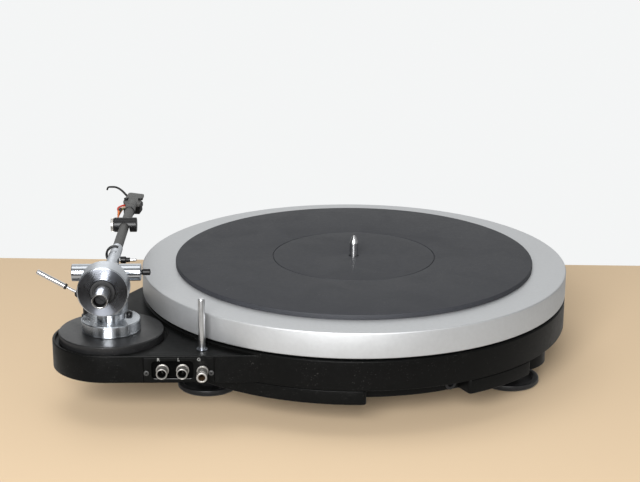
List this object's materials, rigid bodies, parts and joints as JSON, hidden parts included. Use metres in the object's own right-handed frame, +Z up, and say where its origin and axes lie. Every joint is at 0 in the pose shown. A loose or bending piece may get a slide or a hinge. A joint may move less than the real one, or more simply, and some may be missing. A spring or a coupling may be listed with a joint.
{
  "type": "turntable",
  "caption": "Belt-drive turntable: round black plinth on levelling feet, wing with a tonearm, silver platter with rubber mat, rear sockets.",
  "frame": {"origin": "middle of the whole object's box, on the surface it stands on", "axes": "+Z up; the user's front faces -Y; the tonearm is on the +X side"},
  "size_m": [0.4198, 0.3662, 0.1282],
  "materials": {
    "satin_black": "satin black lacquer",
    "matt_black": "matt black",
    "black_metal": "black anodised",
    "rubber": "fine matt rubber",
    "satin_silver": "satin, fine bead blasted",
    "polished_metal": "polished",
    "grey_tube": "matt grey",
    "nickel": "nickel plated",
    "brass": "machined",
    "steel": "satin",
    "lead_wire": "coloured insulation"
  },
  "bodies": {
    "base": {"plinth": "satin_black", "base_body": "satin_black", "armboard": "satin_black", "socket_panel": "satin_black", "foot_pod_1": "black_metal", "foot_pod_2": "black_metal", "foot_pod_3": "black_metal", "arm_rest": "black_metal", "lift_column": "black_metal", "lock_screw": "black_metal", "power_inlet": "matt_black", "bottom_cover": "matt_black", "rca_insulator_1": "matt_black", "rca_insulator_2": "matt_black", "drive_belt": "rubber", "arm_base_ring": "polished_metal", "arm_pillar": "polished_metal", "key_bush": "polished_metal", "rca_socket_1": "nickel", "rca_socket_2": "nickel", "ground_post": "nickel", "bearing_housing": "brass", "motor": "steel", "panel_screw_1": "steel", "panel_screw_2": "steel"},
    "platter": {"platter": "satin_silver", "platter_mat": "rubber", "sub_platter": "satin_silver", "spindle": "polished_metal"},
    "pulley": {"motor_pulley": "brass"},
    "turret": {"arm_turret": "polished_metal"},
    "bias": {"bias_knob": "black_metal"},
    "arm": {"pivot_hub": "steel", "arm_sleeve": "polished_metal", "arm_tube": "grey_tube", "rear_stub": "polished_metal", "stub_screw": "steel", "side_weight": "black_metal", "headshell": "grey_tube", "cartridge_body": "matt_black", "cartridge_screw_1": "steel", "cartridge_screw_2": "steel", "stylus": "steel", "finger_lift": "black_metal", "cartridge_leads": "lead_wire"},
    "weight": {"counterweight": "polished_metal", "weight_ring": "rubber"},
    "rider": {"rider_weight": "black_metal", "rider_screw": "polished_metal"},
    "lever": {"cue_lever": "black_metal"},
    "lift": {"lift_bar": "black_metal"},
    "key": {"levelling_key": "polished_metal"},
    "levelling_foot_1": {"foot_1": "black_metal", "foot_pad_1": "rubber"},
    "levelling_foot_2": {"foot_2": "black_metal", "foot_pad_2": "rubber"},
    "levelling_foot_3": {"foot_3": "black_metal", "foot_pad_3": "rubber"},
    "button_1": {"speed_button_1": "satin_silver"},
    "button_2": {"speed_button_2": "satin_silver"}
  },
  "joints": [
    {"name": "platter_spin", "type": "hinge", "parent": "base", "child": "platter", "pos_m": [-0.03491, -0.0081, 0.06], "axis": [0, 0, -1], "continuous": true},
    {"name": "pulley_spin", "type": "hinge", "parent": "base", "child": "pulley", "pos_m": [-0.13792, -0.0789, 0.06], "axis": [0, 0, -1], "continuous": true},
    {"name": "arm_swing", "type": "hinge", "parent": "base", "child": "turret", "pos_m": [0.14909, 0.11341, 0.1089], "axis": [0, 0, -1], "range_deg": [0, 46]},
    {"name": "bias_turn", "type": "hinge", "parent": "turret", "child": "bias", "pos_m": [0.12514, 0.11194, 0.1089], "axis": [-0.9981, -0.061, 0], "range_deg": [0, 270]},
    {"name": "arm_tilt", "type": "hinge", "parent": "turret", "child": "arm", "pos_m": [0.14909, 0.11341, 0.1089], "axis": [-0.9981, -0.061, 0], "range_deg": [0, 2]},
    {"name": "weight_slide", "type": "slide", "parent": "arm", "child": "weight", "axis": [-0.061, 0.9981, 0.0122], "range_m": [-0.006, 0.008]},
    {"name": "rider_slide", "type": "slide", "parent": "arm", "child": "rider", "axis": [-0.061, 0.9981, 0.0122], "range_m": [-0.01, 0.01]},
    {"name": "lever_turn", "type": "hinge", "parent": "base", "child": "lever", "pos_m": [0.17799, 0.08812, 0.0833], "axis": [-0.061, 0.9981, 0], "range_deg": [0, 50]},
    {"name": "lift_rise", "type": "slide", "parent": "base", "child": "lift", "axis": [0, 0, 1], "range_m": [0, 0.001]},
    {"name": "key_lift", "type": "slide", "parent": "base", "child": "key", "axis": [0, 0, 1], "range_m": [0, 0.03]},
    {"name": "foot_screw_1", "type": "slide", "parent": "base", "child": "levelling_foot_1", "axis": [0, 0, -1], "range_m": [0, 0.008]},
    {"name": "foot_screw_2", "type": "slide", "parent": "base", "child": "levelling_foot_2", "axis": [0, 0, -1], "range_m": [0, 0.008]},
    {"name": "foot_screw_3", "type": "slide", "parent": "base", "child": "levelling_foot_3", "axis": [0, 0, -1], "range_m": [0, 0.008]},
    {"name": "button_press_1", "type": "slide", "parent": "base", "child": "button_1", "axis": [0.309, 0.9511, 0], "range_m": [0, 0.0008], "stiffness_N_per_m": 400},
    {"name": "button_press_2", "type": "slide", "parent": "base", "child": "button_2", "axis": [0.1994, 0.9799, 0], "range_m": [0, 0.0008], "stiffness_N_per_m": 400}
  ],
  "couplings": [
    {"joint": "pulley_spin", "follows": "platter_spin", "ratio": 7.6667},
    {"joint": "lever_turn", "follows": "arm_tilt", "ratio": 24.99},
    {"joint": "lift_rise", "follows": "arm_tilt", "m_per_rad": 0.02749}
  ]
}
